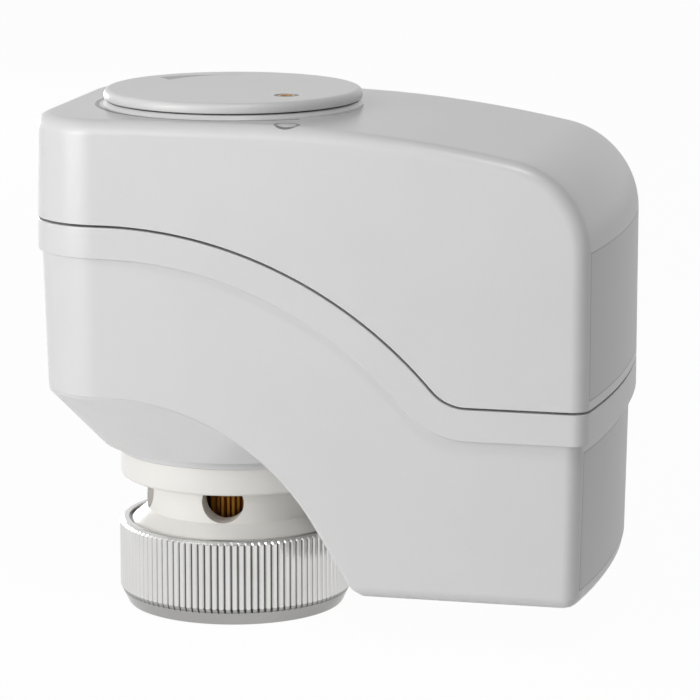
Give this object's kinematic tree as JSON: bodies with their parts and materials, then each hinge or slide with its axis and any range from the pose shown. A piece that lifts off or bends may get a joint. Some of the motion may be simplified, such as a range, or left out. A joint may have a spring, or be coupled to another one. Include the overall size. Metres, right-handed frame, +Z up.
{
  "type": "valve actuator",
  "caption": "Motorised valve actuator head with a two-part plastic housing, a round position dial on top and a knurled union nut below.",
  "frame": {"origin": "centre of the union nut's lower face, on the valve axis", "axes": "+Z up along the valve axis, +X towards the motor box, +Y across the housing"},
  "size_m": [0.0897, 0.05, 0.0824],
  "materials": {
    "housing_plastic": "fine matt texture",
    "dial_plastic": "satin",
    "neck_plastic": "satin",
    "gear_plastic": "satin",
    "nickel": "bright nickel plating",
    "brass": "turned",
    "steel": "zinc plated",
    "copper": "enamelled wire",
    "ferrite": "matt",
    "board": "solder mask",
    "terminal": "satin",
    "capacitor": "gloss",
    "rubber": "matt"
  },
  "bodies": {
    "housing": {"lower_housing": "housing_plastic", "upper_cover": "housing_plastic", "valve_neck": "neck_plastic", "gear_base_plate": "steel", "gear_top_plate": "steel", "plate_posts": "steel", "idler_axles": "steel", "wheel_bush": "brass", "thrust_washer": "steel", "motor_can": "steel", "motor_flange": "steel", "motor_coil": "copper", "motor_bearings": "brass", "motor_screws": "steel", "plate_screws": "steel", "circuit_board": "board", "board_spacers": "neck_plastic", "board_nuts": "steel", "terminal_block": "terminal", "phase_capacitor": "capacitor", "cable_grommet": "rubber", "housing_screws": "steel"},
    "output": {"position_dial": "dial_plastic", "crank_socket": "brass", "drive_wheel": "gear_plastic", "spindle_nut": "brass"},
    "pusher_set": {"pusher": "brass", "spindle": "steel", "spindle_pin": "steel"},
    "idler_a": {"idler_gear_1": "gear_plastic"},
    "idler_b": {"idler_gear_2": "gear_plastic"},
    "idler_c": {"idler_gear_3": "gear_plastic"},
    "rotor": {"motor_rotor": "ferrite", "motor_shaft": "steel", "motor_pinion": "brass"},
    "nut": {"union_nut": "nickel", "nut_snap_ring": "steel"}
  },
  "joints": [
    {"name": "dial_turn", "type": "hinge", "parent": "housing", "child": "output", "pos_m": [0, 0, 0.08], "axis": [0, 0, 1], "range_deg": [-300, 0]},
    {"name": "pusher_slide", "type": "slide", "parent": "housing", "child": "pusher_set", "axis": [0, 0, -1], "range_m": [0, 0.0025]},
    {"name": "nut_spin", "type": "hinge", "parent": "housing", "child": "nut", "pos_m": [0, 0, 0.005], "axis": [0, 0, 1], "continuous": true},
    {"name": "idler_c_turn", "type": "hinge", "parent": "housing", "child": "idler_c", "pos_m": [0.02171, 0.0079, 0.05], "axis": [0, 0, 1], "continuous": true},
    {"name": "idler_b_turn", "type": "hinge", "parent": "housing", "child": "idler_b", "pos_m": [0.03019, -0.00058, 0.05], "axis": [0, 0, 1], "continuous": true},
    {"name": "idler_a_turn", "type": "hinge", "parent": "housing", "child": "idler_a", "pos_m": [0.03791, 0.00861, 0.05], "axis": [0, 0, 1], "continuous": true},
    {"name": "rotor_turn", "type": "hinge", "parent": "housing", "child": "rotor", "pos_m": [0.04391, -0.00178, 0.03], "axis": [0, 0, 1], "continuous": true}
  ],
  "couplings": [
    {"joint": "pusher_slide", "follows": "dial_turn", "m_per_rad": -0.00047746},
    {"joint": "idler_c_turn", "follows": "dial_turn", "ratio": -4.5},
    {"joint": "idler_b_turn", "follows": "dial_turn", "ratio": 13.5},
    {"joint": "idler_a_turn", "follows": "dial_turn", "ratio": -40.5},
    {"joint": "rotor_turn", "follows": "dial_turn", "ratio": 121.5}
  ]
}
